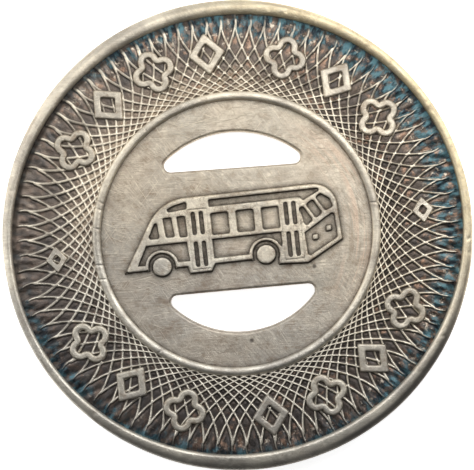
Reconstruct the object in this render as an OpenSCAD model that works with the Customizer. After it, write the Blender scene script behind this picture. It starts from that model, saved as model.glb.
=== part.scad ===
// Transit token: a struck metal disc, pierced by two cut-outs, with the same
// relief on both faces. A raised rim and an inner ring frame a lattice band
// that carries ornaments, and a bus in relief crosses the middle.
// The token lies flat on its reverse. The origin is the middle of its bottom,
// +Z is up and out of the obverse, and +Y is the top of the obverse.

/* [Blank] */
// Diameter over the edge
token_d = 16.5; // [16.4:0.1:18]
// Thickness over the two rims
token_t = 1.35; // [1.3:0.05:1.8]
// Thickness of the web inside the rim
web_t = 1.01; // [0.8:0.01:1.02]
// Width of the raised rim
rim_w = 0.42; // [0.3:0.01:0.45]
// Radius of the rounded edges of the rim
rim_round = 0.15; // [0.05:0.01:0.2]

/* [Cut-outs] */
// Radius of the curved side of the upper cut-out
upper_cut_r = 3.64; // [3.3:0.01:4]
// Distance from the middle to the straight side of the upper cut-out
upper_cut_y = 2.36; // [2:0.01:2.5]
// Turn of the upper cut-out about the middle, clockwise
upper_cut_turn = 2; // [-5:0.5:5]
// Radius of the curved side of the lower cut-out
lower_cut_r = 3.41; // [3.2:0.01:4]
// Distance from the middle to the straight side of the lower cut-out
lower_cut_y = 1.92; // [1.5:0.01:2.2]
// Turn of the lower cut-out about the middle, clockwise
lower_cut_turn = 1; // [-5:0.5:5]
// Radius of the corners of the cut-outs
cut_corner = 0.25; // [0.05:0.01:0.35]

/* [Ring and band] */
// Outer radius of the inner ring
ring_r = 5.04; // [5:0.01:5.3]
// Width of the inner ring
ring_w = 0.32; // [0.25:0.01:0.45]
// Height of the inner ring above the web
ring_h = 0.13; // [0.08:0.01:0.15]
// Height of the lattice band above the web
band_h = 0.05; // [0.02:0.01:0.06]

/* [Ornaments] */
// Distance from the middle to the middle of an ornament
ornament_r = 6.42; // [6.3:0.01:6.6]
// Length of an ornament along the radius
ornament_l = 1.58; // [1.2:0.01:1.7]
// Width of an ornament across the radius
ornament_w = 1.38; // [1:0.01:1.5]
// Width of the strokes of a lozenge ornament
stroke_w = 0.3; // [0.15:0.01:0.32]
// Width of the strokes of a quatrefoil ornament
foil_stroke_w = 0.28; // [0.12:0.01:0.29]
// Height of the ornaments above the band
ornament_h = 0.08; // [0.04:0.01:0.1]
// Length of the two side lozenges round the band
lozenge_l = 0.97; // [0.8:0.01:1.2]
// Width of the two side lozenges along the radius
lozenge_w = 0.79; // [0.7:0.01:1.2]
// Width of the strokes of the side lozenges
lozenge_stroke = 0.19; // [0.08:0.01:0.22]

/* [Bus] */
// Height of the bus above the web
bus_h = 0.12; // [0.05:0.01:0.14]
// Radius of the wheels
wheel_r = 0.38; // [0.3:0.01:0.4]
// Gap round each wheel
wheel_gap = 0.05; // [0.02:0.01:0.06]
// Width of the side windows
window_w = 0.58; // [0.3:0.01:0.65]

/* [Hidden] */

$fn = 120;

// Colours
web_colour = [0.62, 0.59, 0.53];
rim_colour = [0.78, 0.75, 0.67];
band_colour = [0.42, 0.38, 0.34];
relief_colour = [0.74, 0.72, 0.65];

// Blank
outer_r = token_d / 2;
rim_inner_r = outer_r - rim_w;
relief_h = (token_t - web_t) / 2;
web_top = relief_h + web_t;
cut_clear = 0.5;

// Ring and band
ring_mid_r = ring_r - ring_w / 2;
ring_curve_r = (ring_w * ring_w / 4 + ring_h * ring_h) / (2 * ring_h);

// Ornament rows: degrees from one ornament to the next, and the extra degrees
// at the break between their two groups
upper_pitch = 17.6;
upper_break = 7;
lower_pitch = 18.6;
lower_break = 8.7;
slot_last = 6;
// Side lozenges: turn about the middle, and distance from it to the right and left
lozenge_turn = 1.6;
lozenge_places = [6.55, -6.39];

// Bus: heights of its lines and places along its length
tail_x = -4.1;
tail_slope = 58.7;
sill_y = -0.96;
roof_y = 1.53;
roof_under_y = 1.3;
window_top_y = 0.82;
window_low_y = 0.12;
belt_low_y = -0.09;
panel_low_y = -0.69;
step_y = -1.21;
front_x = 3.62;
wheel_places = [[-2.74, -0.83], [0.93, -0.78]];
arch_r = 0.62;
window_x = -0.83;
window_pitch = 0.89;
slot_w = 0.1;
lamp_w = 0.24;
lamp_h = 0.28;
arc_steps = 12;

// Points along an arc from angle a0 to angle a1
function arc(centre, r, a0, a1) = [
    for (i = [0 : arc_steps])
        let (a = a0 + (a1 - a0) * i / arc_steps)
        centre + r * [cos(a), sin(a)]
];

// Segment of a disc beyond a straight side at height y, with round corners
module segment_2d(r, y, corner) {
    centre_y = y + corner;
    centre_x = sqrt(pow(r - corner, 2) - pow(centre_y, 2));
    reach = 2 * r;
    intersection() {
        circle(r);
        polygon([[0, 0], reach * [centre_x, centre_y], reach * [-centre_x, centre_y]]);
        translate([-r, centre_y]) square([2 * r, r]);
    }
    translate([-centre_x, y]) square([2 * centre_x, corner]);
    for (side = [-1, 1]) translate([side * centre_x, centre_y]) circle(corner);
}

module cutouts_2d() {
    rotate(-upper_cut_turn) segment_2d(upper_cut_r, upper_cut_y, cut_corner);
    rotate(180 - lower_cut_turn) segment_2d(lower_cut_r, lower_cut_y, cut_corner);
}

module core_disc() {
    color(web_colour)
        difference() {
            translate([0, 0, relief_h]) cylinder(r = rim_inner_r, h = web_t);
            translate([0, 0, relief_h - cut_clear])
                linear_extrude(web_t + 2 * cut_clear) cutouts_2d();
        }
}

module edge_rim() {
    color(rim_colour)
        rotate_extrude() {
            translate([rim_inner_r, 0]) square([rim_w - rim_round, token_t]);
            translate([outer_r - rim_round, rim_round])
                square([rim_round, token_t - 2 * rim_round]);
            for (z = [rim_round, token_t - rim_round])
                translate([outer_r - rim_round, z]) circle(rim_round);
        }
}

// Places its children on top of the web, or on another level above it
module on_web(level = 0) {
    translate([0, 0, web_top + level]) children();
}

// Turns the obverse over onto the reverse
module on_reverse() {
    translate([0, 0, token_t]) rotate([0, 180, 0]) children();
}

module inner_ring() {
    color(relief_colour)
        on_web() rotate_extrude() intersection() {
            translate([ring_mid_r, ring_h - ring_curve_r]) circle(ring_curve_r);
            translate([ring_r - ring_w, 0]) square([ring_w, ring_h]);
        }
}

module lattice_band() {
    color(band_colour)
        on_web() linear_extrude(band_h) difference() {
            circle(rim_inner_r);
            circle(ring_r);
        }
}

module rhombus_2d(l, w) {
    polygon([[l / 2, 0], [0, w / 2], [-l / 2, 0], [0, -w / 2]]);
}

// Rhombus outline with a stroke of an even width
module open_rhombus_2d(l, w, stroke) {
    inset = stroke * sqrt(l * l + w * w) / (l * w);
    difference() {
        rhombus_2d(l, w);
        rhombus_2d(l * (1 - 2 * inset), w * (1 - 2 * inset));
    }
}

// Four discs round a square, the lobes of a quatrefoil
module lobes_2d(place_r, r) {
    for (a = [0 : 90 : 270]) rotate(a) translate([place_r, 0]) circle(r);
}

// Quatrefoil outline with a stroke of an even width
module quatrefoil_2d() {
    foil_r = ornament_l / 4;
    difference() {
        lobes_2d(foil_r, foil_r);
        difference() {
            square(2 * foil_r, center = true);
            for (a = [0 : 90 : 270]) rotate(a) translate([foil_r, foil_r]) circle(foil_stroke_w);
        }
        lobes_2d(foil_r, foil_r - foil_stroke_w);
    }
}

// Seven ornaments on an arc round the top, from left to right: four, a break, and three
module ornament_row(pitch, break_gap) {
    span = slot_last * pitch + break_gap;
    color(relief_colour)
        on_web(band_h) linear_extrude(ornament_h)
            for (i = [0 : slot_last])
                rotate(span / 2 - i * pitch - (i > slot_last / 2 ? break_gap : 0))
                    translate([0, ornament_r])
                        if (i % 2 == 0) quatrefoil_2d();
                        else rotate(90) open_rhombus_2d(ornament_l, ornament_w, stroke_w);
}

module upper_ornaments() {
    ornament_row(upper_pitch, upper_break);
}

module lower_ornaments() {
    rotate(180) ornament_row(lower_pitch, lower_break);
}

module lozenges() {
    color(relief_colour)
        on_web(band_h) linear_extrude(ornament_h)
            for (x = lozenge_places)
                rotate(lozenge_turn) translate([x, 0])
                    rotate(90) open_rhombus_2d(lozenge_l, lozenge_w, lozenge_stroke);
}

module bus_outline_2d() {
    tail_r = 1.6;
    front_r = 0.87;
    tail_start = roof_y - tail_r * (1 - cos(tail_slope));
    tail_centre_x = tail_x + (tail_start - sill_y) / tan(tail_slope) + tail_r * sin(tail_slope);
    polygon(concat(
        [[tail_x, sill_y]],
        arc([tail_centre_x, roof_y - tail_r], tail_r, 90 + tail_slope, 90),
        arc([front_x - front_r, roof_y - front_r], front_r, 90, 0),
        [[front_x + 0.06, -0.56], [2.38, step_y - 0.06], [1.32, step_y],
         [1.32, sill_y], [-0.85, sill_y], [-1, step_y], [-1.8, step_y], [-1.87, sill_y]]
    ));
}

// Lower panels between the belt and the sill, cleared round the wheel arches
module bus_panels_2d() {
    difference() {
        union() {
            polygon([[-3.2, belt_low_y], [-1.82, belt_low_y], [-1.78, panel_low_y],
                     [-3.52, panel_low_y]]);
            translate([-0.86, panel_low_y]) square([2.36, belt_low_y - panel_low_y]);
        }
        for (place = wheel_places) translate(place) circle(arch_r);
    }
}

module bus_windows_2d() {
    window_h = window_top_y - window_low_y;
    for (i = [0 : 2])
        translate([window_x + i * window_pitch, window_low_y]) square([window_w, window_h]);
    polygon([[-3.08, 0.2], [-2.76, 0.2], [-2.8, 0.74]]);
    polygon([[-2.47, 0.2], [-2.22, 0.2], [-2.27, window_top_y], [-2.52, window_top_y]]);
    polygon([[-1.99, 0.16], [-1.77, 0.16], [-1.79, window_top_y], [-2.03, window_top_y]]);
}

module bus_roof_strip_2d() {
    polygon([[-2.48, 1.04], [-1.68, 1.1], [-1.68, roof_under_y], [-2.1, 1.22]]);
    polygon([[-0.86, 1.07], [2.25, 1.07], [2.38, 0.95], [2.98, 1.28], [2.9, roof_under_y],
             [-0.86, roof_under_y]]);
}

// Three panes and a lower panel, seen at an angle
module bus_front_2d() {
    polygon([[2.29, 0.68], [2.37, 0.72], [2.65, 0.24], [2.42, 0.1]]);
    polygon([[2.53, 0.79], [2.74, 0.92], [3, 0.47], [2.8, 0.34]]);
    polygon([[2.89, 1.02], [3.04, 1.1], [3.32, 0.9], [3.4, 0.66], [3.16, 0.56]]);
    polygon([[2.38, -0.2], [3.42, 0.42], [3.46, -0.42], [2.42, -0.98]]);
}

// Places its children at the rear door and the front door
module at_doors() {
    for (x = [-1.68, 1.58]) translate([x, 0]) children();
}

module door_leaf_2d() {
    translate([0, -1.05]) square([0.68, 2.1]);
}

module door_slots_2d() {
    for (x = [0.15, 0.43]) {
        translate([x, 0.18]) square([slot_w, 0.76]);
        translate([x, -0.94]) square([slot_w, 0.84]);
    }
}

module bus_body() {
    color(relief_colour)
        on_web() linear_extrude(bus_h) difference() {
            bus_outline_2d();
            bus_windows_2d();
            bus_roof_strip_2d();
            bus_panels_2d();
            bus_front_2d();
            at_doors() door_leaf_2d();
            for (place = wheel_places) translate(place) circle(wheel_r + wheel_gap);
        }
}

module bus_doors() {
    color(relief_colour)
        on_web() linear_extrude(bus_h)
            at_doors() difference() {
                door_leaf_2d();
                door_slots_2d();
            }
}

module bus_wheels() {
    color(relief_colour)
        on_web() for (place = wheel_places)
            translate(concat(place, 0)) cylinder(r = wheel_r, h = bus_h);
}

module bus_lamps() {
    color(relief_colour)
        on_web() linear_extrude(bus_h)
            for (place = [[2.71, -0.36], [3.21, -0.1]])
                translate(place - [lamp_w, lamp_h] / 2) square([lamp_w, lamp_h]);
}

module obverse_inner_ring() { inner_ring(); }
module obverse_lattice_band() { lattice_band(); }
module obverse_upper_ornaments() { upper_ornaments(); }
module obverse_lower_ornaments() { lower_ornaments(); }
module obverse_lozenges() { lozenges(); }
module obverse_bus_body() { bus_body(); }
module obverse_bus_doors() { bus_doors(); }
module obverse_bus_wheels() { bus_wheels(); }
module obverse_bus_lamps() { bus_lamps(); }

module reverse_inner_ring() { on_reverse() inner_ring(); }
module reverse_lattice_band() { on_reverse() lattice_band(); }
module reverse_upper_ornaments() { on_reverse() upper_ornaments(); }
module reverse_lower_ornaments() { on_reverse() lower_ornaments(); }
module reverse_lozenges() { on_reverse() lozenges(); }
module reverse_bus_body() { on_reverse() bus_body(); }
module reverse_bus_doors() { on_reverse() bus_doors(); }
module reverse_bus_wheels() { on_reverse() bus_wheels(); }
module reverse_bus_lamps() { on_reverse() bus_lamps(); }

core_disc();
edge_rim();
obverse_inner_ring();
obverse_lattice_band();
obverse_upper_ornaments();
obverse_lower_ornaments();
obverse_lozenges();
obverse_bus_body();
obverse_bus_doors();
obverse_bus_wheels();
obverse_bus_lamps();
reverse_inner_ring();
reverse_lattice_band();
reverse_upper_ornaments();
reverse_lower_ornaments();
reverse_lozenges();
reverse_bus_body();
reverse_bus_doors();
reverse_bus_wheels();
reverse_bus_lamps();
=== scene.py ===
"""Looks of the transit token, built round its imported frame.

Shapes are worked out in millimetres, in the frame's own axes, and turned into
metres when a mesh is made. Both faces carry the same relief: each piece of the
obverse is made once and turned over for the reverse.
"""

import math
import random
from math import acos, asin, ceil, cos, pi, radians, sin

import bpy
import numpy as np
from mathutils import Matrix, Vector
from mathutils.geometry import tessellate_polygon


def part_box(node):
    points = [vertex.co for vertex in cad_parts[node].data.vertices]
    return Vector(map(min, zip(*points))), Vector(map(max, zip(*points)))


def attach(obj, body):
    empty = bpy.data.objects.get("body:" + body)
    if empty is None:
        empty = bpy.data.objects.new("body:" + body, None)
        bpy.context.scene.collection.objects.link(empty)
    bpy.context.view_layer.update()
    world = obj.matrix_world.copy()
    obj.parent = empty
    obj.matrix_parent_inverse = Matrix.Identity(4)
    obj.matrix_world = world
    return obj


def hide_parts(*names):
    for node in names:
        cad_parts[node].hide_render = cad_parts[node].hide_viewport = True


MM = 0.001

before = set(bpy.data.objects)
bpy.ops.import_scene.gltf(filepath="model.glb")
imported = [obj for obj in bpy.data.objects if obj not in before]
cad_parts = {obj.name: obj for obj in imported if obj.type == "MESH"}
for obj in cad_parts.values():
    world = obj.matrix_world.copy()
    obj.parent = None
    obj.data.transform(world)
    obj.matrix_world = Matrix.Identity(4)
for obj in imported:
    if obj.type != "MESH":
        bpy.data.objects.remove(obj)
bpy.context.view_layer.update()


def box_mm(node):
    """The node's lowest and highest corners, in millimetres."""
    low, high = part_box(node)
    return Vector(low) / MM, Vector(high) / MM


# ---- dimensions
# In millimetres and degrees. What CAD fixes is read from the frame.

outer_r = box_mm("edge_rim")[1].x
thickness = box_mm("edge_rim")[1].z
rim_inner_r = box_mm("core_disc")[1].x
web_low, web_top = box_mm("core_disc")[0].z, box_mm("core_disc")[1].z
ring_r = box_mm("obverse_inner_ring")[1].x
ring_top = box_mm("obverse_inner_ring")[1].z
band_top = box_mm("obverse_lattice_band")[1].z
ornament_top = box_mm("obverse_upper_ornaments")[1].z
bus_top = box_mm("obverse_bus_body")[1].z

# The rim's inner foot, against CAD: a little further in, oval, and moved up
FOOT_SHIFT = -0.025
FOOT_OVAL = 0.12
FOOT_TURN = 12.6
FOOT_UP = 0.022

# How far the rim falls from its crest to its foot and to its outer edge
INNER_DROP = 0.175
OUTER_DROP = 0.15

RING_W = 0.32
RING_SHIFT = (-0.03, 0.056)
RING_CRACKS = (6.7, 125, 161, 164, 172, 187, 193, 231, 303)

# A cut-out: radius of its round side, height of its straight side, and turn
CUT_CORNER = 0.25
UPPER_CUT = (3.64, 2.36, -2)
LOWER_CUT = (3.41, 1.92, 179)
PITS = ((2.56, -1.38), (0.1, -3.73))

ORNAMENT_R = 6.42
ORNAMENT_L = 1.58
ORNAMENT_W = 1.38
LOZENGE_STROKE = 0.3
FOIL_STROKE = 0.28

# A row of ornaments: its pitch, the extra angle of its break, and its turn
UPPER_ROW = (17.6, 7, 0)
LOWER_ROW = (18.6, 8.7, 180)
SIDE_LOZENGE = (1.0, 0.82, 0.22)
SIDE_LOZENGE_TURN = 1.6
SIDE_LOZENGE_X = (6.55, -6.39)

# Lattice lines, drawn by a circle that rolls inside another, and the twigs beyond them
BAND_OUTER_R = 7.97
LATTICE_CUSPS = 91
LATTICE_R = 7.41
LATTICE_ROLL_R = 1.312
LATTICE_PHASE = -2.57
LINE_HALF_W = 0.05
TWIG_START_R = 7.2
TWIG_END_R = 7.86
valley_z = band_top - 0.062

# The web is sunk under the band, and raised parts start a little inside the web
SHELF_DEPTH = 0.04
shelf_z = web_top - SHELF_DEPTH
ornament_root_z = valley_z - 0.01
bus_root_z = web_top - 0.02
MAX_SIDE = 0.08

WHEELS = ((-2.74, -0.83), (0.93, -0.78))
WHEEL_R = 0.38
WHEEL_WELL_R = 0.43
ARCH_R = 0.62
DOOR_X = (-1.68, 1.58)
SLOT_SPANS = ((0.18, 0.76), (-0.94, 0.84))
LAMPS = ((2.71, -0.36), (3.21, -0.1))

# A plain upright side, where the doors meet the body
flush_side = [(0, bus_root_z), (0, bus_top)]


# ---- outlines


def arc(centre, r, start, end, step=6):
    """Points on an arc from one angle to another, in degrees."""
    count = max(2, ceil(abs(end - start) / step))
    angles = [radians(start + (end - start) * i / count) for i in range(count + 1)]
    return [(centre[0] + r * cos(a), centre[1] + r * sin(a)) for a in angles]


def circle(centre, r, count):
    """A closed round loop, anticlockwise."""
    return arc(centre, r, 0, 360, 360 / count)[:-1]


def box_loop(x, y, w, h, r):
    """A rectangle with round corners, anticlockwise."""
    corners = ((x + w - r, y + r, -90), (x + w - r, y + h - r, 0))
    corners += ((x + r, y + h - r, 90), (x + r, y + r, 180))
    return [p for cx, cy, a in corners for p in arc((cx, cy), r, a, a + 90, 30)]


def rounded(points, r, step=20):
    """Rounds the corners of a polygon with arcs of radius r, as far as its sides allow."""
    out = []
    n = len(points)
    for i, p in enumerate(points):
        p, a, b = Vector(p), Vector(points[i - 1]), Vector(points[(i + 1) % n])
        back, on = (a - p), (b - p)
        half = back.angle(on) / 2
        reach = min(r / math.tan(half), back.length * 0.45, on.length * 0.45)
        true_r = reach * math.tan(half)
        turn = pi - 2 * half
        if turn < radians(8):
            out.append(tuple(p))
            continue
        start = p + back.normalized() * reach
        end = p + on.normalized() * reach
        centre = p + (back.normalized() + on.normalized()).normalized() * true_r / sin(half)
        count = max(2, ceil(math.degrees(turn) / step))
        a0 = math.atan2(start.y - centre.y, start.x - centre.x)
        swing = math.atan2(end.y - centre.y, end.x - centre.x) - a0
        swing = (swing + pi) % (2 * pi) - pi
        for k in range(count + 1):
            angle = a0 + swing * k / count
            out.append((centre.x + true_r * cos(angle), centre.y + true_r * sin(angle)))
    return out


def turned(loop, degrees, shift=(0, 0)):
    """The loop moved by shift, then turned about the middle."""
    c, s = cos(radians(degrees)), sin(radians(degrees))
    moved = [(x + shift[0], y + shift[1]) for x, y in loop]
    return [(x * c - y * s, x * s + y * c) for x, y in moved]


def area(loop):
    """Signed area: positive when the loop runs anticlockwise."""
    x, y = np.array(loop).T
    return float((x * np.roll(y, -1) - np.roll(x, -1) * y).sum() / 2)


def wound(loop, hole):
    """The loop, running anticlockwise, or clockwise if it is a hole."""
    return loop if (area(loop) > 0) != hole else loop[::-1]


def resampled(loop, length):
    """Adds points along the sides, so that none is longer than length."""
    out = []
    for i, p in enumerate(loop):
        q = loop[(i + 1) % len(loop)]
        count = max(1, ceil(math.dist(p, q) / length))
        step = ((q[0] - p[0]) / count, (q[1] - p[1]) / count)
        out += [(p[0] + step[0] * k, p[1] + step[1] * k) for k in range(count)]
    return out


def inset(loop, distance):
    """Moves a loop to its left, which is into the material."""
    p = np.array(loop)
    side = np.roll(p, -1, 0) - p
    side /= np.linalg.norm(side, axis=1)[:, None]
    normal = np.stack((-side[:, 1], side[:, 0]), 1)
    before = np.roll(normal, 1, 0)
    mitre = 1 + (normal * before).sum(1)
    return p + distance * (normal + before) / np.maximum(mitre, 0.5)[:, None]


# ---- meshes


class Shape:
    """Vertices, faces and one number per vertex, built up in millimetres."""

    def __init__(self):
        self.verts = []
        self.faces = []
        self.wear = []

    def add(self, points):
        """Adds points that are wholly worn, and gives their places in the list."""
        start = len(self.verts)
        self.verts += [tuple(p) for p in points]
        self.wear += [1.0] * (len(self.verts) - start)
        return list(range(start, len(self.verts)))

    def wall(self, low, high):
        """Quads between two loops of the same length."""
        n = len(low)
        for i in range(n):
            j = (i + 1) % n
            self.faces.append((low[i], low[j], high[j], high[i]))

    def cap(self, loops, up):
        """Fills an outline and its holes with triangles that face up or down."""
        flat = [i for loop in loops for i in loop]
        points = [[Vector(self.verts[i][:2]).to_3d() for i in loop] for loop in loops]
        for tri in tessellate_polygon(points):
            a, b, c = (Vector(self.verts[flat[k]]) for k in tri)
            facing_up = (b - a).cross(c - a).z > 0
            order = tri if facing_up == up else tri[::-1]
            self.faces.append(tuple(flat[k] for k in order))

    def solid(self, loops, profiles):
        """A closed solid: each loop is swept through its profile of (inset, height)."""
        bottoms, tops = [], []
        for loop, profile in zip(loops, profiles):
            rings = [self.add([(x, y, z) for x, y in inset(loop, d)]) for d, z in profile]
            for low, high in zip(rings, rings[1:]):
                self.wall(low, high)
            bottoms.append(rings[0])
            tops.append(rings[-1])
        self.cap(bottoms, up=False)
        self.cap(tops, up=True)

    def zip_rings(self, inner, outer):
        """Joins two rings of (angle, vertex) with triangles that face up when outer is wider."""
        i = j = 0
        m, n = len(inner), len(outer)
        while i < m or j < n:
            next_in = inner[i + 1][0] if i + 1 < m else inner[0][0] + 2 * pi
            next_out = outer[j + 1][0] if j + 1 < n else outer[0][0] + 2 * pi
            a, b = inner[i % m][1], outer[j % n][1]
            if i < m and (j >= n or next_in <= next_out):
                self.faces.append((a, b, inner[(i + 1) % m][1]))
                i += 1
            else:
                self.faces.append((a, b, outer[(j + 1) % n][1]))
                j += 1

    def lathe(self, profile, count, shift):
        """Turns a closed profile, clockwise in its plane, about the middle, each point shifted."""
        rings = []
        for k in range(count):
            a = 2 * pi * k / count
            points = [shift(r, z, a) for r, z in profile]
            rings.append(self.add([(r * cos(a), r * sin(a), z) for r, z in points]))
        for k in range(count):
            self.wall(rings[k], rings[(k + 1) % count])


def add_object(name, data):
    """A new object in the scene."""
    made = bpy.data.objects.new(name, data)
    bpy.context.scene.collection.objects.link(made)
    return made


def make_piece(name, shape, material, nodes, smooth_angle=50, reverse=False):
    """Turns a shape into an object that rides on the token and stands for CAD nodes."""
    verts = np.array(shape.verts)
    if reverse:
        verts = verts * (-1, 1, -1) + (0, 0, thickness)
    mesh = bpy.data.meshes.new(name)
    mesh.from_pydata((verts * MM).tolist(), [], shape.faces)
    mesh.validate()
    wear = mesh.attributes.new("wear", "FLOAT", "POINT")
    wear.data.foreach_set("value", np.array(shape.wear, dtype=np.float32))
    mesh.shade_smooth()
    mesh.set_sharp_from_angle(angle=radians(smooth_angle))
    mesh.materials.append(material)
    piece = add_object(name, mesh)
    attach(piece, "root")
    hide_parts(*nodes)


def make_both(name, shape, material, node, smooth_angle):
    """The obverse piece, and the same piece turned over for the reverse."""
    for face, turned_over in (("obverse", False), ("reverse", True)):
        nodes = [f"{face}_{node}"]
        make_piece(f"{face}_{name}", shape, material, nodes, smooth_angle, turned_over)


def struck_profile(low, high, soft):
    """The side of a raised part: a steep draft that rolls over into a flat top."""
    rise = high - low
    steps = ((0, 0), (0.2, 0.3), (0.38, 0.58), (0.54, 0.78), (0.7, 0.91), (0.86, 0.98), (1, 1))
    return [(soft * d, low + rise * h) for d, h in steps + ((1.12, 1),)]


def relief(shape, outer, holes, low, high, soft):
    """Adds one raised part with holes, its edges drafted and rolled over."""
    loops = [wound(outer, False)] + [wound(h, True) for h in holes]
    loops = [resampled(loop, MAX_SIDE) for loop in loops]
    shape.solid(loops, [struck_profile(low, high, soft)] * len(loops))


# ---- disc and rings


def cut_out(r, y, degrees):
    """Outline of a cut-out: a segment of a disc with round corners."""
    corner_y = y + CUT_CORNER
    corner_x = math.sqrt((r - CUT_CORNER) ** 2 - corner_y**2)
    corner = math.degrees(math.atan2(corner_y, corner_x))
    loop = arc((corner_x, corner_y), CUT_CORNER, -90, corner, 15)
    loop += arc((0, 0), r, corner, 180 - corner, 2)[1:-1]
    loop += arc((-corner_x, corner_y), CUT_CORNER, 180 - corner, 270, 15)
    return turned(loop, degrees)


def core_shape():
    """The web: a disc with a sunken shelf under each lattice band, pierced twice."""
    boss_r = ring_r - RING_W / 2
    outer = circle((0, 0), BAND_OUTER_R, 360)
    shelf = BAND_OUTER_R - boss_r
    low_shelf = web_low + SHELF_DEPTH
    side = [(shelf + 0.02, web_low), (shelf, web_low), (shelf, low_shelf), (0, low_shelf)]
    side += [(0, shelf_z), (shelf, shelf_z), (shelf, web_top), (shelf + 0.02, web_top)]
    lip = [(0.1, 0), (0.08, 0.002), (0.05, 0.013), (0.025, 0.034), (0.01, 0.06), (0, 0.1)]
    hole = [(d, web_low + h) for d, h in lip] + [(d, web_top - h) for d, h in lip[::-1]]
    cuts = [wound(resampled(cut_out(*c), 0.12), True) for c in (UPPER_CUT, LOWER_CUT)]
    shape = Shape()
    shape.solid([outer] + cuts, [side, hole, hole])
    return shape


def rim_knocks():
    """Small knocks in the rim: the angle, radius, depth and size of each."""
    rng = random.Random(11)
    ranges = ((0, 2 * pi), (rim_inner_r, outer_r), (0.005, 0.02), (0.04, 0.1))
    return [[rng.uniform(*span) for span in ranges] for _ in range(60)]


def rim_section():
    """Upper half of the rim's section: -1 at its foot, 0 on the crest, 1 at the outer edge."""
    half = [(-1, web_top - 0.09)]
    for step in range(9):
        t = radians(90 * step / 8)
        half.append((-cos(t), thickness - INNER_DROP * (1 - sin(t))))
    for step in range(1, 10):
        t = radians(10 * step)
        half.append((sin(t), thickness - OUTER_DROP * (1 - cos(t))))
    return half


def rim_shape():
    """The rim: slightly oval within, its crest further out at the top than at the bottom."""
    half = rim_section()
    profile = half + [(x, thickness - z) for x, z in half[::-1]]
    knocks = rim_knocks()

    def knocked(x, z, a):
        foot = rim_inner_r + FOOT_SHIFT + FOOT_OVAL * cos(2 * (a - radians(FOOT_TURN)))
        wave = 0.003 * (sin(7 * a + 1) + sin(19 * a) - 2)
        foot += FOOT_UP * sin(a)
        crest = 0.4 + 0.18 * cos(a - radians(76))
        crest += 0.05 * cos(2 * (a - radians(39)))
        share = crest + x * (crest if x < 0 else 1 - crest)
        r = foot + (outer_r + wave - foot) * share
        for angle, at, depth, size in knocks:
            along = (a - angle + pi) % (2 * pi) - pi
            if abs(along) * r < 3 * size:
                near = math.exp(-((along * r) ** 2 + (r - at) ** 2) / size**2)
                z += depth * near * (-1 if z > thickness / 2 else 1)
                r -= depth * near * 0.4
        return r, z

    shape = Shape()
    shape.lathe(profile, 1440, knocked)
    return shape


def ring_shape():
    """The inner ring: a low, slightly oval bead with a few fine cracks across it."""
    middle = ring_r - RING_W / 2
    top = ring_top - web_top
    across = [(-1, 0), (-0.95, 0.3), (-0.86, 0.52), (-0.72, 0.72), (-0.53, 0.87), (-0.28, 0.97), (0, 1)]
    across += [(-x, h) for x, h in across[-2::-1]]
    profile = [(middle + x * RING_W / 2, web_top + h * top) for x, h in across]
    profile += [(ring_r, shelf_z), (ring_r - RING_W, shelf_z)]
    cracks = [radians(a) for a in RING_CRACKS]

    def cracked(r, z, a):
        z -= 0.004 * (1 + sin(23 * a) * sin(5 * a)) * (z > web_top)
        r += 0.055 * cos(2 * (a - radians(19)))
        lean = 0.25 * (r - middle)
        for crack in cracks:
            along = ((a - crack + pi) % (2 * pi) - pi) * r + lean
            if z > web_top:
                z -= 0.02 * math.exp(-((along / 0.03) ** 2))
        return r, max(z, shelf_z)

    shape = Shape()
    shape.lathe(profile, 1200, cracked)
    shape.verts = [(x + RING_SHIFT[0], y + RING_SHIFT[1], z) for x, y, z in shape.verts]
    return shape


# ---- lattice band


def facing(angle, degrees, power):
    """1 in one direction, and 0 from a quarter turn away: a higher power is narrower."""
    return np.clip(np.cos(angle - radians(degrees)), 0, 1) ** power


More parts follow.
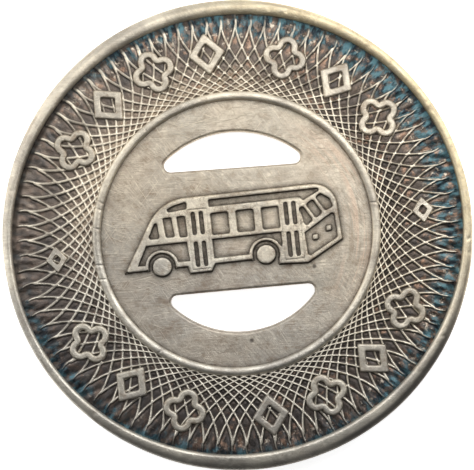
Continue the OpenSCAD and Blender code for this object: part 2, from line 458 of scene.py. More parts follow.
class Lattice:
    """Two mirrored families of lines, as an inner rolling circle draws them."""

    def __init__(self):
        a, b = LATTICE_R, LATTICE_ROLL_R
        t = np.linspace(0, pi * b / a, 4000)
        x = (a - b) * np.cos(t) + b * np.cos((a - b) / b * t)
        y = (a - b) * np.sin(t) - b * np.sin((a - b) / b * t)
        self.r = np.hypot(x, y)
        self.sweep = np.arctan2(y, x)
        self.pitch = 2 * pi / LATTICE_CUSPS
        self.phase = radians(LATTICE_PHASE)
        self.lean = np.gradient(self.sweep, self.r) * self.r
        self.bends = np.random.default_rng(3).uniform(0.5, 1.5, LATTICE_CUSPS)
        self.tips = np.random.default_rng(4).uniform(-0.14, 0.02, LATTICE_CUSPS)

    def sweep_at(self, r):
        """How far round a line has gone at radius r, from its cusp."""
        return np.interp(r, self.r[::-1], self.sweep[::-1], right=0)

    def radius_at(self, sweep):
        """The radius where a line has gone so far round."""
        return np.interp(sweep, self.sweep, self.r)

    def off_line(self, angle):
        """Angle to the nearest line of a family."""
        return (angle - self.phase + self.pitch / 2) % self.pitch - self.pitch / 2

    def line_gap(self, r, angle, sign):
        """Distance from one family's nearest line."""
        sweep = self.sweep_at(r)
        lean = np.interp(r, self.r[::-1], self.lean[::-1], right=0)
        return np.abs(self.off_line(angle - sign * sweep)) * r / np.sqrt(1 + lean**2)

    def half_width(self, r, angle, sign):
        """Half the width of a line: finer by the ring, and one family broader on the left."""
        left = facing(angle, 158, 3)
        broad = 1 + (0.5 if sign < 0 else 0.1) * left
        return LINE_HALF_W * broad * np.clip(0.8 + 0.1 * (r - 5), 0.8, 1)

    def twig_boldness(self, angle):
        """Twigs are bold at the upper left, plainer at the right and left, faint elsewhere."""
        bold, right, left = facing(angle, 114, 2), facing(angle, -14, 2), facing(angle, 182, 4)
        return bold, 0.62 + 0.38 * np.maximum(bold, np.maximum(0.8 * right, 0.6 * left))

    def twig_gap(self, r, angle):
        """Distance from the bent twig beyond a cusp, and how tall the twig is there."""
        index = np.round((angle - self.phase) / self.pitch).astype(int) % LATTICE_CUSPS
        along = np.clip((r - TWIG_START_R) / (TWIG_END_R - TWIG_START_R), 0, 1)
        bend = (0.06 * along**2 - 0.17 * along * (1 - along)) * self.bends[index]
        gap = np.abs(self.off_line(angle) * r - bend)
        tip = np.clip((TWIG_END_R + self.tips[index] - r) / 0.12, 0, 1)
        return gap, np.clip((r - TWIG_START_R) / 0.12, 0, 1) * tip * (1 - 0.3 * along)

    def at(self, r, angle):
        """The line's height at a point, from 0 to 1, and the distance from any line."""
        crest = np.zeros_like(angle)
        nearest = np.full_like(angle, 1.0)
        inside = np.clip((LATTICE_R + 0.03 - r) / 0.1, 0, 1)
        for sign in (1, -1):
            gap = self.line_gap(r, angle, sign) + (1 - inside)
            crest = np.maximum(crest, 1 - gap / self.half_width(r, angle, sign))
            nearest = np.minimum(nearest, gap)
        gap, tall = self.twig_gap(r, angle)
        bold, strength = self.twig_boldness(angle)
        crest = np.maximum(crest, (1 - gap / ((1 + 0.8 * bold) * LINE_HALF_W)) * tall * strength)
        nearest = np.minimum(nearest, gap + 0.3 * (1 - tall))
        return np.clip(crest, 0, 1), nearest


def band_swell(r, angles):
    """How tall the lines stand round the band, from -1 to 1."""
    phases = np.random.default_rng(5).uniform(0, 2 * pi, 8)
    waves = [np.sin((3 + 5 * k) * angles + phase + r * (2 + k)) for k, phase in enumerate(phases)]
    return np.clip(sum(waves) / 3, -1, 1)


def band_ripple(r, angles):
    """Fine ripples in the band's floor, deeper towards the rim."""
    rng = random.Random(8)
    waves = [(rng.randint(45, 190), rng.uniform(-12, 12), rng.uniform(0, 6)) for _ in range(12)]
    ripple = sum(np.sin(k * angles + phase + q * r) for k, q, phase in waves)
    return 0.0045 * ripple * np.clip((r - 6.9) / 0.4, 0.25, 1)


def band_heights(lattice, r, angles):
    """The band's height at points on a circle, and its wear: 1 on a crest, 0 deep in a cell."""
    crest, gap = lattice.at(np.full_like(angles, r), angles)
    line_z = crest * (2 - crest) * (band_top - valley_z) * (0.88 + 0.12 * band_swell(r, angles))
    pillow = 0.02 * np.clip(gap / 0.13, 0, 1) ** 2
    groove = 0.03 * np.clip((r - 7.68) / 0.08, 0, 1)
    z = valley_z + line_z + pillow - groove + band_ripple(r, angles) * (1 - 0.6 * crest)
    sunk = 0.5 - 5 * np.clip(gap - 0.05, 0, 0.1)
    return np.clip(z, shelf_z + 0.006, band_top), np.where(crest > 0, 0.5 + 0.5 * crest, sunk)


def band_shape():
    """The band: its mesh runs along the lines, so that each crest is a row of edges."""
    lattice = Lattice()
    split = 9
    step = lattice.pitch / (2 * split)
    inner_r = ring_r - 0.1
    count = LATTICE_CUSPS * split
    last = ceil(float(lattice.sweep_at(inner_r)) / step)
    first = 3
    shape = Shape()
    rows = []

    def add_row(r, angles, height=None):
        """A row of points at radius r, at the lattice's height unless one is given."""
        z, wear = band_heights(lattice, r, angles)
        if height is not None:
            z = np.full_like(angles, height)
        start = len(shape.verts)
        shape.verts += np.stack((r * np.cos(angles), r * np.sin(angles), z), 1).tolist()
        shape.wear += wear.tolist()
        rows.append([(float(a), start + k) for k, a in enumerate(angles)])

    def row_angles(n, offset):
        """n angles all the way round, offset by a share of their step."""
        return lattice.phase + (np.arange(n) + offset) * 2 * pi / n

    add_row(inner_r, row_angles(count, 0), shelf_z)
    for m in range(last, first - 1, -1):
        add_row(float(lattice.radius_at(m * step)), row_angles(count, 0.5 * (m % 2)))
    start_r = float(lattice.radius_at(first * step))
    outer_steps = 12
    for k in range(1, outer_steps + 1):
        add_row(start_r + (BAND_OUTER_R - start_r) * k / outer_steps, row_angles(2 * count, 0))
    add_row(BAND_OUTER_R, row_angles(2 * count, 0), shelf_z)
    for inner, outer in zip(rows, rows[1:]):
        shape.zip_rings(inner, outer)
    before = len(shape.faces)
    shape.zip_rings(rows[0], rows[-1])
    shape.faces[before:] = [face[::-1] for face in shape.faces[before:]]
    return shape


# ---- ornaments


def quatrefoil():
    """A quatrefoil outline and its hole."""
    r = ORNAMENT_L / 4
    outer, inner = [], []
    for k in range(4):
        a = 90 * k
        outer += turned(arc((r, 0), r, -90, 90, 9), a)[:-1]
        inner += turned(arc((r, 0), r - FOIL_STROKE, -90, 90, 12), a)[:-1]
        inner += turned(arc((r, r), FOIL_STROKE, 270, 180, 12), a)[:-1]
    return outer, [inner]


def open_rhombus(length, width, stroke):
    """A rhombus outline, its length along +Y."""
    outer = [(width / 2, 0), (0, length / 2), (-width / 2, 0), (0, -length / 2)]
    keep = 1 - 2 * stroke * math.hypot(length, width) / (length * width)
    inner = [(x * keep, y * keep) for x, y in outer]
    return rounded(outer, 0.3 * stroke), [rounded(inner, 0.03)]


def ornament_row_shape(pitch, gap, turn):
    """Seven ornaments on an arc: four, a break, and three."""
    shape = Shape()
    last = 6
    span = last * pitch + gap
    for i in range(last + 1):
        angle = turn + span / 2 - i * pitch - (gap if i > last / 2 else 0)
        rhombus = open_rhombus(ORNAMENT_L, ORNAMENT_W, LOZENGE_STROKE)
        outer, holes = quatrefoil() if i % 2 == 0 else rhombus
        outer = turned(outer, angle, (0, ORNAMENT_R))
        holes = [turned(h, angle, (0, ORNAMENT_R)) for h in holes]
        relief(shape, outer, holes, ornament_root_z, ornament_top, 0.068)
    return shape


def side_lozenges_shape():
    """The two small rhombuses between the rows."""
    shape = Shape()
    outer, holes = open_rhombus(*SIDE_LOZENGE)
    for x in SIDE_LOZENGE_X:
        place = [turned(loop, SIDE_LOZENGE_TURN, (x, 0)) for loop in [outer] + holes]
        relief(shape, place[0], place[1:], ornament_root_z, ornament_top, 0.05)
    return shape


# ---- bus


def bus_outline():
    """The outline of the bus, with its wheel wells, anticlockwise from the tail."""
    sill, roof, step, slope, tail_x, front_x = -0.96, 1.53, -1.21, 58.7, -4.1, 3.62
    tail_r, front_r = 1.6, 0.87
    start_y = roof - tail_r * (1 - cos(radians(slope)))
    centre_x = tail_x + (start_y - sill) / math.tan(radians(slope))
    centre_x += tail_r * sin(radians(slope))
    (x1, y1), (x2, y2) = WHEELS
    low1 = math.degrees(asin((sill - y1) / WHEEL_WELL_R))
    low2 = math.degrees(asin((sill - y2) / WHEEL_WELL_R))
    side2 = math.degrees(acos((1.32 - x2) / WHEEL_WELL_R))
    loop = [(tail_x, sill)]
    loop += arc((x1, y1), WHEEL_WELL_R, 180 - low1, low1)
    loop += [(-1.87, sill), (-1.8, step), (-1, step), (-0.85, sill)]
    loop += arc((x2, y2), WHEEL_WELL_R, 180 - low2, -side2)
    loop += [(1.32, step), (2.38, step - 0.06), (front_x + 0.06, -0.56)]
    loop += arc((front_x - front_r, roof - front_r), front_r, 0, 90)
    loop += arc((centre_x, roof - tail_r), tail_r, 90, 90 + slope)
    return loop


def bus_panels():
    """Recessed panels between the belt and the sill, cut round by the wheel arches."""
    top, low = -0.09, -0.69
    (x1, y1), (x2, y2) = WHEELS
    at1 = math.degrees(asin((low - y1) / ARCH_R))
    at2 = math.degrees(asin((low - y2) / ARCH_R))
    side2 = math.degrees(acos((1.5 - x2) / ARCH_R))
    rear = arc((x1, y1), ARCH_R, at1, 180 - at1) + [(-3.52, low), (-3.2, top)]
    rear += [(-1.82, top), (-1.78, low)]
    front = arc((x2, y2), ARCH_R, side2, 180 - at2) + [(-0.86, low), (-0.86, top), (1.5, top)]
    return [rear, front]


def bus_windows():
    """Three panes along the side and three small ones behind them."""
    top, low = 0.82, 0.12
    panes = [box_loop(-0.84 + 0.89 * i, low, 0.56, top - low, 0.04) for i in range(3)]
    small = [[(-3.08, 0.2), (-2.76, 0.2), (-2.8, 0.74)]]
    small.append([(-2.47, 0.2), (-2.22, 0.2), (-2.27, top), (-2.52, top)])
    small.append([(-1.99, 0.16), (-1.77, 0.16), (-1.79, top), (-2.03, top)])
    return panes + [rounded(loop, 0.03) for loop in small]


def bus_roof_strips():
    """Two narrow recesses under the roof."""
    rear = [(-2.48, 1.07), (-1.7, 1.13), (-1.7, 1.3), (-2.1, 1.22)]
    side = [(-0.86, 1.12), (2.3, 1.12), (2.42, 1), (2.98, 1.28), (2.9, 1.3), (-0.86, 1.3)]
    return [rounded(rear, 0.03), rounded(side, 0.015)]


def bus_front():
    """Three panes and the lower panel of the front, seen at an angle."""
    panes = [[(2.29, 0.68), (2.37, 0.72), (2.65, 0.24), (2.42, 0.1)]]
    panes.append([(2.53, 0.79), (2.74, 0.92), (3, 0.47), (2.8, 0.34)])
    panes.append([(2.89, 1.02), (3.04, 1.1), (3.32, 0.9), (3.4, 0.66), (3.16, 0.56)])
    panel = [(2.38, -0.2), (3.42, 0.42), (3.46, -0.42), (2.42, -0.98)]
    return [rounded(loop, 0.05) for loop in panes] + [rounded(panel, 0.06)]


def door_leaf(x):
    """A door's outline, from its left edge."""
    return [(x, -1.05), (x + 0.68, -1.05), (x + 0.68, 1.05), (x, 1.05)]


def door_slots(x):
    """Two pairs of slots in a door, one above the other."""
    places = [(x + at, low, height) for at in (0.15, 0.43) for low, height in SLOT_SPANS]
    return [box_loop(left, low, 0.1, height, 0.045) for left, low, height in places]


def bus_body_shape():
    """The body: its recesses go right down to the web, and the doors' places are left open."""
    recesses = bus_windows() + bus_roof_strips() + bus_panels() + bus_front()
    loops = [wound(bus_outline(), False)] + [wound(h, True) for h in recesses]
    doors = [wound(door_leaf(x), True) for x in DOOR_X]
    profiles = [struck_profile(bus_root_z, bus_top, 0.085)]
    profiles += [struck_profile(bus_root_z, bus_top, 0.06)] * (len(loops) - 1)
    profiles += [flush_side] * len(doors)
    shape = Shape()
    shape.solid([resampled(loop, MAX_SIDE) for loop in loops + doors], profiles)
    return shape


def bus_doors_shape():
    """Two doors, level with the body all round."""
    shape = Shape()
    for x in DOOR_X:
        slots = [wound(slot, True) for slot in door_slots(x)]
        profiles = [flush_side] + [struck_profile(bus_root_z, bus_top, 0.035)] * len(slots)
        shape.solid([resampled(loop, MAX_SIDE) for loop in [door_leaf(x)] + slots], profiles)
    return shape


def bus_wheels_shape():
    """Two wheels: flat discs with a rolled edge."""
    shape = Shape()
    for x, y in WHEELS:
        relief(shape, circle((x, y), WHEEL_R, 64), [], bus_root_z, bus_top, 0.085)
    return shape


def bus_lamps_shape():
    """Two lamps in the lower panel of the front, leaning with it."""
    shape = Shape()
    half_w, half_h, lean = 0.12, 0.14, 0.03
    for x, y in LAMPS:
        loop = [(x - half_w, y - half_h), (x + half_w, y - half_h + lean)]
        loop += [(x + half_w, y + half_h), (x - half_w, y + half_h - lean)]
        relief(shape, rounded(loop, 0.07), [], bus_root_z, bus_top, 0.06)
    return shape


# ---- materials


def direction(degrees):
    """A flat vector of length 1, at an angle anticlockwise from +X."""
    a = radians(degrees)
    return cos(a), sin(a), 0


class Nodes:
    """Short calls for a metal's node tree, with its place and radius in millimetres."""

    def __init__(self, material):
        self.tree = material.node_tree
        self.tree.nodes.clear()
        self.place = self.scaled(self.node("ShaderNodeTexCoord").outputs["Object"], 1 / MM)
        self.radius = self.vector("LENGTH", self.place, output="Value")
        self.mottle = self.noise(2.6, 6, 0.72)
        self.fleck = self.noise(9, 4, 0.7)
        self.radial = self.across_rim(0)

    def node(self, kind, inputs=(), **settings):
        """A new node: each input is linked to another node's output, or set to a value."""
        made = self.tree.nodes.new(kind)
        for key, value in settings.items():
            setattr(made, key, value)
        for key, value in dict(inputs).items():
            if isinstance(value, bpy.types.NodeSocket):
                self.tree.links.new(value, made.inputs[key])
            else:
                made.inputs[key].default_value = value
        return made

    def math(self, operation, a, b, clamp=False):
        return self.node("ShaderNodeMath", {0: a, 1: b}, operation=operation, use_clamp=clamp).outputs[0]

    def times(self, a, b, clamp=False):
        return self.math("MULTIPLY", a, b, clamp)

    def plus(self, a, b):
        return self.math("ADD", a, b)

    def minus(self, a, b):
        return self.math("SUBTRACT", a, b)

    def most(self, a, b):
        return self.math("MAXIMUM", a, b)

    def vector(self, operation, a, b=(0, 0, 0), output="Vector"):
        return self.node("ShaderNodeVectorMath", {0: a, 1: b}, operation=operation).outputs[output]

    def scaled(self, a, factor):
        return self.node("ShaderNodeVectorMath", {0: a, "Scale": factor}, operation="SCALE").outputs[0]

    def ramp(self, value, low, high, to_low=0.0, to_high=1.0):
        """Maps low..high to to_low..to_high, smoothly, and holds it outside."""
        inputs = enumerate((value, low, high, to_low, to_high))
        return self.node("ShaderNodeMapRange", inputs, interpolation_type="SMOOTHSTEP").outputs[0]

    def mix(self, factor, a, b):
        """Mixes two colours: all a where the factor is 0, all b where it is 1."""
        a, b = [(*c, 1) if isinstance(c, tuple) else c for c in (a, b)]
        return self.node("ShaderNodeMix", {0: factor, 6: a, 7: b}, data_type="RGBA").outputs[2]

    def noise(self, scale, detail, roughness=0.6, place=None):
        inputs = {"Vector": self.place if place is None else place, "Scale": scale}
        inputs.update({"Detail": detail, "Roughness": roughness})
        return self.node("ShaderNodeTexNoise", inputs).outputs["Fac"]

    def stretched(self, place, turn, scale):
        """Coordinates turned about Z and then stretched, for grain that runs one way."""
        inputs = {"Vector": place, "Rotation": (0, 0, radians(turn))}
        turned_place = self.node("ShaderNodeMapping", inputs).outputs[0]
        return self.node("ShaderNodeMapping", {"Vector": turned_place, "Scale": scale}).outputs[0]

    def toward(self, degrees):
        """How far a point lies in one direction from the middle: 1 there, -1 opposite."""
        way = self.vector("NORMALIZE", self.place)
        return self.vector("DOT_PRODUCT", way, direction(degrees), "Value")

    def side(self, degrees, *span):
        """A ramp across the face, in one direction."""
        return self.ramp(self.toward(degrees), *span)

    def ring(self, *span):
        """A ramp along the radius."""
        return self.ramp(self.radius, *span)

    def around(self, length):
        """A vector of the given length that changes only with the way from the middle."""
        flat = self.vector("MULTIPLY", self.place, (1, 1, 0))
        return self.scaled(self.vector("NORMALIZE", flat), length)

    def across_rim(self, seed):
        """Noise drawn out along the radius, as the metal flowed when it was struck."""
        along = self.plus(self.times(self.radius, 2.2), seed)
        up = self.node("ShaderNodeCombineXYZ", {2: along}).outputs[0]
        return self.noise(1.0, 3, 0.6, self.vector("ADD", self.around(36), up))


# Colours
SILVER = (0.63, 0.54, 0.425)
SILVER_COOL = (0.54, 0.49, 0.41)
SILVER_BRIGHT = (0.84, 0.75, 0.6)
STAIN = (0.36, 0.27, 0.19)
# Pink painted highlights of the brushing
PINK_SHEEN = (0.8, 0.61, 0.46)
BROWN = (0.042, 0.034, 0.028)
CELL = (0.16, 0.125, 0.1)
CELL_PALE = (0.36, 0.28, 0.215)
CELL_MID = (0.29, 0.23, 0.185)
CELL_TAN = (0.56, 0.45, 0.33)
CELL_DARK = (0.06, 0.05, 0.043)
CELL_COOL = (0.12, 0.108, 0.1)
CELL_WARM = (0.5, 0.31, 0.21)
# Painted glints on the cells by the rim
CELL_GLINT = (0.85, 0.72, 0.56)
TEAL = (0.1, 0.205, 0.235)
NAVY = (0.018, 0.03, 0.04)
GOLDEN = (0.93, 0.78, 0.47)
COOL_TINT = (0.95, 0.99, 1.06)
# Painted shade on the rim's outer edge
EDGE_SHADE = (0.12, 0.108, 0.095)

# Directions on the face, in degrees
UPPER_RIGHT = 38
UPPER_LEFT = 140
LOWER_RIGHT = -50

# Kinds of metal whose walls show, and how much painted shade the walls that face down get
SHOWN_WALL_SHADE = {"crazed": 0.85, "raised": 0.4}


def fine_scratches(n):
    """Thin hairlines in several directions, each in patches, strongest at the upper left."""
    lines = None
    for turn, across, seed in ((4, 42, 0), (-9, 34, 7), (63, 38, 13), (-48, 44, 21), (28, 36, 29)):
        shifted = n.vector("ADD", n.place, (seed, seed, seed))
        streak = n.noise(1, 2, 0.5, n.stretched(shifted, turn, (0.7, across, 3)))
        here = n.ramp(n.noise(0.7, 2, place=shifted), 0.45, 0.6, 0.15, 1)
        line = n.times(n.ramp(streak, 0.6, 0.7), here)
        lines = line if lines is None else n.most(lines, line)
    return n.times(lines, n.side(UPPER_LEFT, -0.6, 0.6, 0.4, 1))


def brushing(n):
    """Fine grain that runs along one way, and aslant in patches."""
    along = n.noise(1, 4, 0.6, n.stretched(n.place, 4, (1.8, 24, 8)))
    aslant = n.noise(1, 4, 0.6, n.stretched(n.place, 52, (2.2, 20, 8)))
    swirl = n.ramp(n.noise(0.8, 2), 0.42, 0.6)
    return n.plus(n.times(n.minus(aslant, along), swirl), along)


def round_lines(n):
    """Fine lines round the outer edge, as the blank was rolled, that fade on the rim's top."""
    high = n.vector("MULTIPLY", n.place, (0, 0, 14))
    lines = n.noise(1, 4, 0.65, n.vector("ADD", n.around(6), high))
    on_edge = n.ring(outer_r - 0.06, outer_r - 0.01)
    return n.plus(n.times(n.minus(lines, 0.5), on_edge), 0.5)


def crazing(n):
    """A net of fine cracks in the skin of the metal, in patches."""
    bent = n.node("ShaderNodeTexNoise", {"Vector": n.place, "Scale": 6, "Detail": 3}).outputs["Color"]
    bent = n.vector("ADD", n.place, n.scaled(bent, 0.35))
    inputs = {"Vector": bent, "Scale": 5, "Randomness": 1.0}
    net = n.node("ShaderNodeTexVoronoi", inputs, feature="DISTANCE_TO_EDGE").outputs["Distance"]
    here = n.ramp(n.noise(1.4, 3), 0.4, 0.6, 0.2, 1)
    return n.times(n.ramp(net, 0.07, 0.01), here)


def painted_wall_shade(n):
    """Painted shade: 1 on walls that face the bottom of the design, away from the lamps."""
    normal = n.node("ShaderNodeTexCoord").outputs["Normal"]
    return n.ramp(n.vector("DOT_PRODUCT", normal, direction(-75), "Value"), 0.15, 0.6)


def hollow_of(n, distance):
    """1 deep in a corner and 0 in the open."""
    inputs = {"Distance": distance * MM}
    found = n.node("ShaderNodeAmbientOcclusion", inputs, samples=6).outputs["AO"]
    return n.minus(1, found)


def rim_gap(n):
    """Distance from the rim's inner foot, which is slightly oval."""
    along = n.toward(FOOT_TURN)
    oval = n.times(n.times(along, along), 2 * FOOT_OVAL)
    foot = n.plus(oval, rim_inner_r + FOOT_SHIFT - FOOT_OVAL + FOOT_UP)
    return n.minus(foot, n.radius)


def cooled(n, colour):
    """The colour, a little less warm towards the bottom of the design."""
    lower = n.side(-112, -0.1, 0.8)
    return n.vector("MULTIPLY", colour, n.mix(lower, (1, 1, 1), COOL_TINT))


def painted_edge_shade(n):
    """Painted shade on the outermost part of the rim: most at the lower right, a little at the top."""
    below = n.side(-80, 0.35, 0.9, 0, 0.5)
    below = n.times(below, n.ring(outer_r - 0.2, outer_r - 0.03))
    lower_right = n.side(LOWER_RIGHT, 0.82, 0.97, 0, 0.8)
    lower_right = n.times(lower_right, n.ring(outer_r - 0.18, outer_r - 0.06))
    above = n.side(105, 0.7, 0.97, 0, 0.28)
    above = n.times(above, n.ring(outer_r - 0.14, outer_r - 0.06))
    return n.most(n.most(below, lower_right), above)


def worn_colour(n, kind, bright, base, scratch, grain, hairs):
    """Slow patches, stains, grain and hairlines over the metal's own colour."""
    colour = n.mix(n.ramp(n.noise(0.55, 3), 0.35, 0.65), base, SILVER_COOL)
    if kind == "rim":
        # Golden tone towards the upper right: partly real, partly painted light where the rim catches it
        # brightest
        golden_tone_and_light = n.side(UPPER_RIGHT, 0.3, 0.95, 0, 0.75)
        colour = n.mix(n.times(golden_tone_and_light, n.ring(6, 7)), colour, GOLDEN)
    stained = 0.35 if kind == "rim" else 0.7
    layers = (
        (n.mottle, 0.5, 0.68, stained, bright),
        (n.mottle, 0.5, 0.32, stained, STAIN),
        (n.fleck, 0.4, 0.22, 0.7, STAIN),
        (n.fleck, 0.56, 0.72, 0.5, bright),
        (grain, 0.56, 0.3, 0.42 * scratch, STAIN),
        (grain, 0.52, 0.72, 0.5 * scratch, bright),
    )
    for noise, none_at, full_at, full, tone in layers:
        colour = n.mix(n.ramp(noise, none_at, full_at, 0, full), colour, tone)
    return n.mix(n.times(hairs, scratch), colour, bright)


def pink_sheen_streaks(n, colour):
    """Pinkish streaks that follow the ring round, on the right of the field: painted highlights along
    the brushing, with brown streaks between them.
    """
    out = n.node("ShaderNodeCombineXYZ", {2: n.times(n.radius, 7)}).outputs[0]
    streak = n.noise(1, 3, 0.6, n.vector("ADD", n.around(1.6), out))
    here = n.times(n.side(8, 0.5, 0.95), n.ring(3.5, 4.3))
    # Painted highlights: pink sheen along the brushing
    pink_sheen = n.times(n.ramp(streak, 0.45, 0.62, 0, 0.6), here)
    dull = n.times(n.ramp(streak, 0.45, 0.3, 0, 0.5), here)
    return n.mix(dull, n.mix(pink_sheen, colour, PINK_SHEEN), STAIN)


def field_colour(n, bright, colour):
    """The middle field: painted light, brighter at the upper right; painted shade, darker and browner
    towards the bottom, partly a real stain; blotches, heavier at the lower left where they also paint
    shade; streaks and two dark pits.
    """
    # Painted light: brighter towards the upper right
    colour = n.mix(n.side(50, 0, 1, 0, 0.3), colour, bright)
    # Painted shade, partly a real brown stain: darker and browner towards the bottom
    colour = n.mix(n.side(-110, 0, 0.9, 0, 0.13), colour, STAIN)
    blotch = n.ramp(n.noise(1.1, 4, 0.65), 0.52, 0.68, 0.0, 0.35)
    # Blotches heavier at the lower left, where they also paint shade
    blotch = n.times(blotch, n.side(-140, -0.3, 0.8, 1, 1.6))
    colour = pink_sheen_streaks(n, n.mix(blotch, colour, STAIN))
    for x, y in PITS:
        away = n.vector("DISTANCE", n.place, (x, y, web_top), "Value")
        colour = n.mix(n.ramp(away, 0.1, 0.04, 0, 0.7), colour, BROWN)
    return colour


def cell_colour(n, wear):
    """The sunken cells between the lines: tan by the ring at the upper left, which is painted light, and
    dark by the rim, with painted glints and, at the lines' feet, tarnish and painted shade.
    """
    patches = n.ramp(n.noise(1.9, 3), 0.4, 0.6)
    # Painted light: cells lighter towards the upper left, where the light falls
    upper_left_light = n.side(128, 0.1, 0.9)
    lower_right = n.side(LOWER_RIGHT, -0.2, 0.7)
    inner = n.mix(patches, CELL, CELL_DARK)
    inner = n.mix(upper_left_light, inner, n.mix(patches, CELL_TAN, CELL_PALE))
    soft_patches = n.ramp(n.noise(1.6, 3), 0.3, 0.7)
    outer = n.mix(soft_patches, n.mix(upper_left_light, CELL, CELL_MID), CELL_COOL)
    cell = n.mix(n.ring(5.3, 6.6), inner, outer)
    lively = n.side(190, 0.2, 0.75, 1, 0.25)
    spots = n.times(n.ramp(n.noise(3.1, 3), 0.57, 0.68, 0, 0.7), lively)
    cell = n.mix(spots, cell, CELL_WARM)
    upper_right = n.side(55, 0.2, 0.9)
    by_rim = n.plus(n.radius, n.times(upper_right, 0.4))
    by_rim = n.times(n.ramp(by_rim, 6.9, 7.4), lively)
    cell = n.mix(n.times(by_rim, n.ramp(n.radial, 0.47, 0.35, 0, 0.8)), cell, BROWN)
    cell = n.mix(n.times(by_rim, n.ramp(n.radial, 0.52, 0.66, 0, 0.85)), cell, CELL_WARM)
    # Painted glints: bright beads near the rim
    painted_glints = n.ramp(n.noise(5.5, 3), 0.58, 0.67, 0, 0.8)
    cell = n.mix(n.times(painted_glints, by_rim), cell, CELL_GLINT)
    cell = n.mix(n.times(n.ramp(n.fleck, 0.5, 0.32, 0, 0.6), lively), cell, BROWN)
    # Tarnish and painted shade at the feet of the lines, heavier towards the lower right
    foot = n.most(n.ring(5.2, 6.8, 0.15, 0.5), n.ramp(lower_right, 0, 1, 0, 0.65))
    return n.mix(n.times(n.ramp(wear, 0.5, 0.2, 1, 0), foot), cell, BROWN)


def rubbed_lines(n, wear):
    """Where the lines are rubbed bright: along their crests, more in some patches than others."""
    patchy = n.ramp(n.noise(1.3, 3), 0.36, 0.6, 0.55, 1)
    patchy = n.times(patchy, n.ramp(n.fleck, 0.25, 0.5, 0.6, 1))
    patchy = n.most(patchy, n.side(LOWER_RIGHT, -0.2, 0.7, 0, 0.93))
    faded = n.times(n.side(UPPER_LEFT, 0.3, 0.9), n.ring(6.1, 6.9))
    faded = n.times(faded, n.ring(7.4, 7.15, 0, 0.45))
    patchy = n.times(patchy, n.minus(1, faded))
    return n.times(n.ramp(wear, 0.58, 0.84), patchy)


def hollow_tarnish_and_shade(n, kind, tarnish_and_shade_amount):
    """How much tarnish and painted shade lie in the corners, and painted shade on walls that face the
    bottom of the design.
    """
    reach, start, deep = (0.22, 0.06, 0.24) if kind in ("field", "crazed") else (0.15, 0.1, 0.48)
    # Darkening in corners: partly tarnish, partly painted shade where shadow falls
    shut = n.ramp(hollow_of(n, reach), start, deep)
    shut = n.times(shut, n.ramp(n.noise(6, 4, 0.7), 0.25, 0.75, 0.6, 1.0))
    tarnish_and_shade = n.times(shut, tarnish_and_shade_amount, clamp=True)
    if kind == "rim":
        tarnish_and_shade = n.times(tarnish_and_shade, n.side(-75, 0.2, 0.8, 1, 0.25))
    # Painted shade on walls that face the bottom of the design, away from the lamps
    if kind in SHOWN_WALL_SHADE:
        tarnish_and_shade = n.most(tarnish_and_shade, n.times(painted_wall_shade(n), SHOWN_WALL_SHADE[kind]))
    return tarnish_and_shade


def lattice_tarnish_and_shade(n, wear, tarnish_and_shade):
    """The band's tarnish and painted shade: little on the lines and by the ring, most along the rim's
    foot, where painted shade is heaviest at the top.
    """
    tarnish_and_shade = n.times(tarnish_and_shade, n.ramp(wear, 0.5, 0.8, 0.6, 0.1))
    tarnish_and_shade = n.times(tarnish_and_shade, n.ring(5.3, 6.5, 0.4, 1))
    # Tarnish and painted shade along the rim's foot, heaviest at the top, in the rim's shadow
    rim_foot_tarnish_and_shade = n.ramp(rim_gap(n), 0.14, 0.02)
    rim_foot_tarnish_and_shade = n.times(rim_foot_tarnish_and_shade, n.side(84, -0.4, 0.3, 0.15, 0.85))
    return n.most(tarnish_and_shade, rim_foot_tarnish_and_shade)


def tarnish_film(n):
    """Where blue-green tarnish lies: next to the rim, most of all towards the upper right."""
    upper_right = n.side(UPPER_RIGHT, -0.4, 0.9)
    left = n.side(160, 0.72, 0.93, 1, 0.1)
    edge = n.plus(n.radius, n.times(upper_right, 0.5))
    edge = n.plus(edge, n.times(n.noise(1.1, 4, 0.65), 1.1))
    edge = n.plus(edge, n.times(n.across_rim(20), 0.7))
    film = n.times(n.ramp(edge, 8.25, 8.75), left)
    return n.times(film, n.ramp(n.noise(3.2, 4), 0.4, 0.56, 0.08, 1))


def filmed(n, wear, teal, colour):
    """The colour under its blue-green film, which is thin on the band's rubbed lines."""
    film = n.times(tarnish_film(n), teal, clamp=True)
    if wear is not None:
        film = n.times(film, n.ramp(wear, 0.6, 0.9, 0.9, 0.25))
    film_tone = n.mix(n.ramp(n.across_rim(40), 0.4, 0.6), NAVY, TEAL)
    return n.mix(film, colour, film_tone)


def add_shader(n, kind, rough, colour, tarnish_and_shade, height):
    """The metal's gloss and its bumps, with softened edges on the kinds whose walls show."""
    roughness = n.plus(n.times(tarnish_and_shade, 0.2), rough)
    roughness = n.plus(roughness, n.ramp(n.mottle, 0.3, 0.7, 0.07, -0.05))
    pits = n.plus(n.times(n.fleck, 0.9), n.times(n.radial, 0.25))
    inputs = {"Strength": 0.6, "Distance": 0.02 * MM, "Height": n.plus(height, pits)}
    if kind in SHOWN_WALL_SHADE:
        inputs["Normal"] = n.node("ShaderNodeBevel", {"Radius": 0.1 * MM}, samples=6).outputs[0]
    bump = n.node("ShaderNodeBump", inputs)
    inputs = {"Base Color": colour, "Roughness": roughness, "Normal": bump.outputs[0]}
    shader = n.node("ShaderNodeBsdfPrincipled", {**inputs, "Metallic": 0.95})
    n.node("ShaderNodeOutputMaterial", {"Surface": shader.outputs[0]})


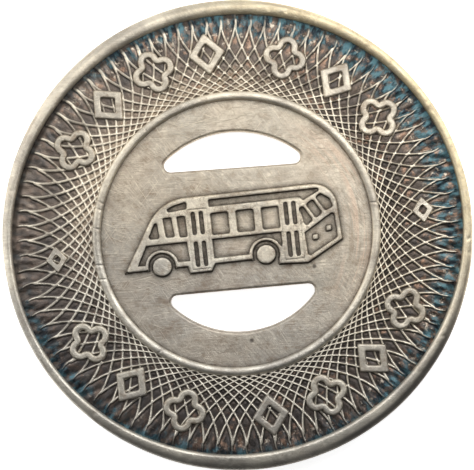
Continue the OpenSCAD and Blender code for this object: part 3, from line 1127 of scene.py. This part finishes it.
def metal(name, bright, base, tarnish_and_shade_amount, teal, scratch, rough, kind="plain"):
    """Struck nickel silver: rubbed where it stands proud, with tarnish and painted shade in its hollows
    and painted shade on the rim's outer edge.
    """
    material = bpy.data.materials.new(name)
    material.use_nodes = True
    n = Nodes(material)
    wear = None
    grain, hairs = brushing(n), fine_scratches(n)
    height = n.times(n.plus(grain, hairs), 0.55 * scratch)
    colour = worn_colour(n, kind, bright, base, scratch, grain, hairs)
    tarnish_and_shade = hollow_tarnish_and_shade(n, kind, tarnish_and_shade_amount)
    if kind == "rim":
        lines = round_lines(n)
        colour = n.mix(n.ramp(lines, 0.5, 0.32, 0, 0.45), colour, STAIN)
        height = n.plus(height, lines)
    if kind == "field":
        colour = field_colour(n, bright, colour)
    if kind == "crazed":
        cracks = crazing(n)
        colour = n.mix(n.times(cracks, 0.7), colour, STAIN)
        height = n.minus(height, n.times(cracks, 0.5))
    if kind == "lattice":
        wear = n.node("ShaderNodeAttribute", attribute_name="wear").outputs["Fac"]
        colour = n.mix(rubbed_lines(n, wear), cell_colour(n, wear), bright)
        tarnish_and_shade = lattice_tarnish_and_shade(n, wear, tarnish_and_shade)
    # Tarnish and painted shade in the hollows, and painted shade on walls that face down
    colour = n.mix(tarnish_and_shade, colour, BROWN)
    if teal:
        colour = filmed(n, wear, teal, colour)
    # Painted shade on the rim's outer edge, most at the lower right
    colour = cooled(n, n.mix(painted_edge_shade(n), colour, EDGE_SHADE))
    add_shader(n, kind, rough, colour, tarnish_and_shade, height)
    return material


def floor_material():
    """Matt pale paper, with a glow that keeps it white under the soft lamps."""
    material = bpy.data.materials.new("floor_paper")
    material.use_nodes = True
    shader = material.node_tree.nodes["Principled BSDF"]
    settings = {"Base Color": (0.8, 0.8, 0.8, 1), "Roughness": 0.9, "Specular IOR Level": 0}
    settings.update({"Emission Color": (1, 1, 1, 1), "Emission Strength": 0.85})
    for key, value in settings.items():
        shader.inputs[key].default_value = value
    return material


# ---- stage and view


def make_floor():
    """A flat square at the token's foot."""
    size = 0.6
    mesh = bpy.data.meshes.new("floor")
    corners = [(-size, -size, 0), (size, -size, 0), (size, size, 0), (-size, size, 0)]
    mesh.from_pydata(corners, [], [(0, 1, 2, 3)])
    mesh.materials.append(floor_material())
    floor = add_object("floor", mesh)


def make_light(name, place, size, radiance):
    """A square soft box, in metres and of the given radiance, that faces the origin."""
    data = bpy.data.lights.new(name, "AREA")
    data.shape = "SQUARE"
    data.size = size
    data.energy = radiance * pi * size * size
    light = add_object(name, data)
    light.location = place
    light.rotation_euler = (-Vector(place)).to_track_quat("-Z", "Y").to_euler()
    light.visible_camera = False


def make_world():
    """Dim all round, so that slopes away from the lights fall dark; pale where the camera looks."""
    world = bpy.data.worlds.new("studio")
    world.use_nodes = True
    tree = world.node_tree
    dim = tree.nodes["Background"]
    dim.inputs["Color"].default_value = (1, 0.98, 0.95, 1)
    dim.inputs["Strength"].default_value = 0.05
    pale = tree.nodes.new("ShaderNodeBackground")
    pale.inputs["Color"].default_value = (1, 1, 1, 1)
    seen = tree.nodes.new("ShaderNodeLightPath")
    pick = tree.nodes.new("ShaderNodeMixShader")
    tree.links.new(seen.outputs["Is Camera Ray"], pick.inputs[0])
    tree.links.new(dim.outputs[0], pick.inputs[1])
    tree.links.new(pale.outputs[0], pick.inputs[2])
    tree.links.new(pick.outputs[0], tree.nodes["World Output"].inputs["Surface"])
    bpy.context.scene.world = world


def make_camera():
    """Straight above, rolled so that the design stands 6.2 degrees anticlockwise."""
    roll = 6.2
    radius_share = 0.4962  # of the picture's width
    data = bpy.data.cameras.new("camera")
    data.sensor_width = 36
    data.lens = 180
    edge_z = thickness * 0.85
    distance = outer_r * data.lens / (data.sensor_width * radius_share)
    camera = add_object("camera", data)
    camera.location = (0, 0, (distance + edge_z) * MM)
    camera.rotation_euler = (0, 0, radians(-roll))
    data.shift_x = -0.00105
    data.clip_start, data.clip_end = 0.001, 10
    bpy.context.scene.camera = camera


def build():
    """The metals, and then the pieces that wear them."""
    web = metal("web_metal", SILVER_BRIGHT, SILVER, 0.9, 0, 1, 0.5, "field")
    rim = metal("rim_metal", (0.98, 0.91, 0.75), (0.92, 0.83, 0.67), 0.9, 0, 0.45, 0.47, "rim")
    raised = metal("relief_metal", (0.93, 0.84, 0.68), (0.77, 0.69, 0.55), 1, 0.06, 0.5, 0.47, "raised")
    small = metal("small_relief_metal", (0.98, 0.9, 0.75), (0.92, 0.83, 0.68), 0.6, 0, 0.4, 0.45)
    bus = metal("bus_metal", (0.98, 0.89, 0.72), (0.86, 0.77, 0.61), 1, 0, 0.5, 0.45, "crazed")
    band = metal("band_metal", (0.97, 0.87, 0.7), SILVER, 0.9, 1, 0.3, 0.45, "lattice")

    make_piece("pierced_web", core_shape(), web, ["core_disc"])
    make_piece("rim_and_edge", rim_shape(), rim, ["edge_rim"], 80)
    make_both("ring_bead", ring_shape(), rim, "inner_ring", 80)
    make_both("lattice_relief", band_shape(), band, "lattice_band", 75)
    raised_parts = (
        ("upper_ornament_row", ornament_row_shape(*UPPER_ROW), raised, "upper_ornaments"),
        ("lower_ornament_row", ornament_row_shape(*LOWER_ROW), raised, "lower_ornaments"),
        ("side_lozenges", side_lozenges_shape(), small, "lozenges"),
        ("bus_body_relief", bus_body_shape(), bus, "bus_body"),
        ("bus_door_relief", bus_doors_shape(), bus, "bus_doors"),
        ("bus_wheel_relief", bus_wheels_shape(), bus, "bus_wheels"),
        ("bus_lamp_relief", bus_lamps_shape(), bus, "bus_lamps"),
    )
    for name, shape, material, node in raised_parts:
        make_both(name, shape, material, node, 70)


build()
make_floor()
make_world()
make_light("key", (0.0011, 0.0238, 0.0183), 0.0437, 0.96)
make_light("near", (0.0092, 0.009, 0.0335), 0.016, 4.1)
make_light("left", (-0.0363, 0.0131, 0.024), 0.042, 1.68)
make_light("right", (0.0356, 0.0148, 0.0236), 0.027, 2.6)
make_camera()
bpy.context.scene.view_settings.view_transform = "Standard"
